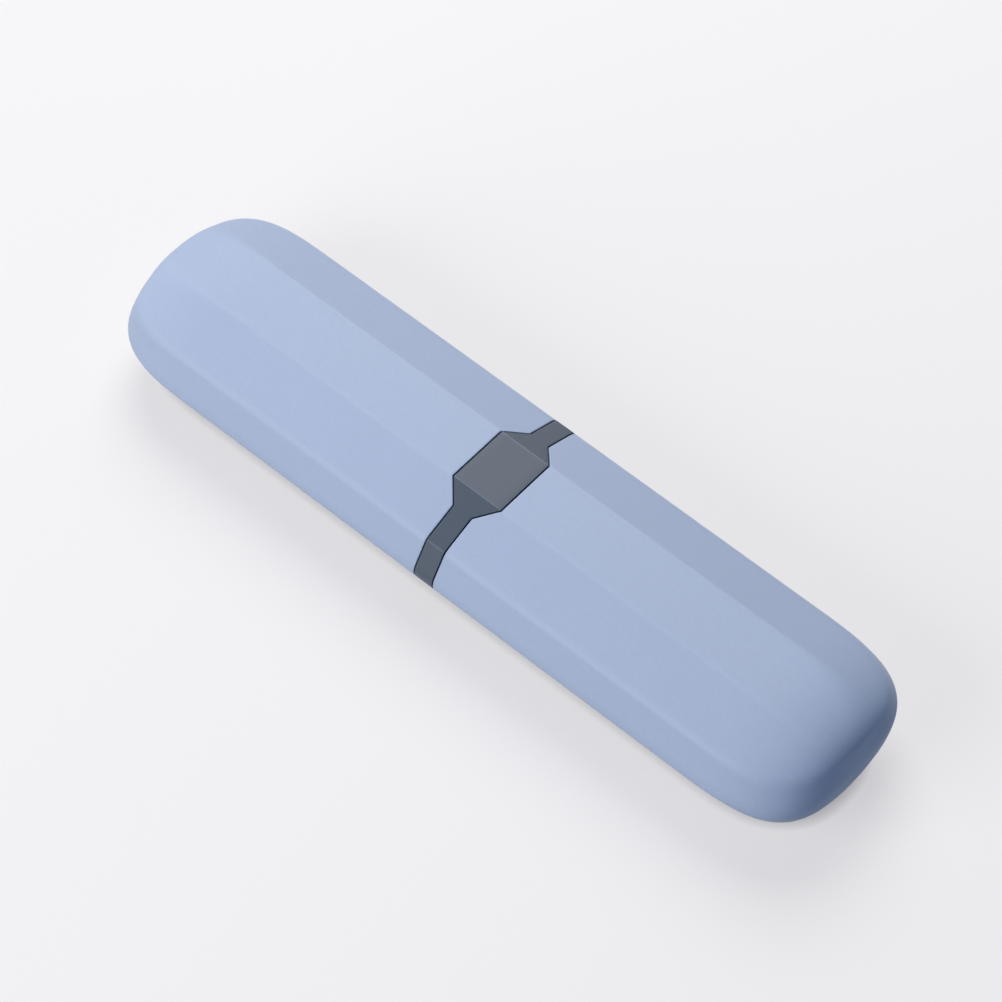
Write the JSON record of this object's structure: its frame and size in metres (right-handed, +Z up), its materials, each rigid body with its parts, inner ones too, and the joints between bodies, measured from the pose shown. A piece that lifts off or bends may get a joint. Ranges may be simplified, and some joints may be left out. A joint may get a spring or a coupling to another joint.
{
  "type": "electric toothbrush travel case",
  "caption": "Faceted two-part capsule case for an electric toothbrush: a cap that pulls off a sleeve, a flush collar and a sprung release button.",
  "frame": {"origin": "on the surface that the case lies on, under the middle of its length and width", "axes": "+X along the case towards the base half, +Y across it, +Z up through the release button"},
  "size_m": [0.24, 0.0612, 0.0338],
  "materials": {
    "shell": "satin moulded pale blue plastic",
    "trim": "fine matt moulded slate grey plastic",
    "inner_moulding": "plain moulded plastic",
    "soft_rubber": "soft matt elastomer",
    "spring_steel": "stamped spring steel",
    "rivet_metal": "formed rivet heads",
    "peg_plastic": "smooth moulded plastic"
  },
  "bodies": {
    "base": {"base_shell": "shell", "collar_ring": "trim", "inner_sleeve": "trim", "sleeve_seal": "soft_rubber", "latch_leaf": "spring_steel", "leaf_rivets": "rivet_metal", "return_spring": "spring_steel", "handle_cradle": "inner_moulding", "base_head_peg": "peg_plastic", "base_end_pad": "soft_rubber", "cradle_pad_1": "soft_rubber", "cradle_pad_2": "soft_rubber", "cradle_pad_3": "soft_rubber"},
    "button": {"release_button": "trim"},
    "cap": {"cap_shell": "shell", "cap_tray": "inner_moulding", "cap_head_peg": "peg_plastic", "cap_end_pad": "soft_rubber", "tray_pad_1": "soft_rubber", "tray_pad_2": "soft_rubber", "tray_pad_3": "soft_rubber"}
  },
  "joints": [
    {"name": "cap_slide", "type": "slide", "parent": "base", "child": "cap", "axis": [-1, 0, 0], "range_m": [0, 0.12]},
    {"name": "button_press", "type": "slide", "parent": "base", "child": "button", "axis": [0, 0, -1], "range_m": [0, 0.0008], "stiffness_N_per_m": 1500, "springref_m": -0.0008, "deforming": ["latch_leaf", "return_spring"]}
  ]
}
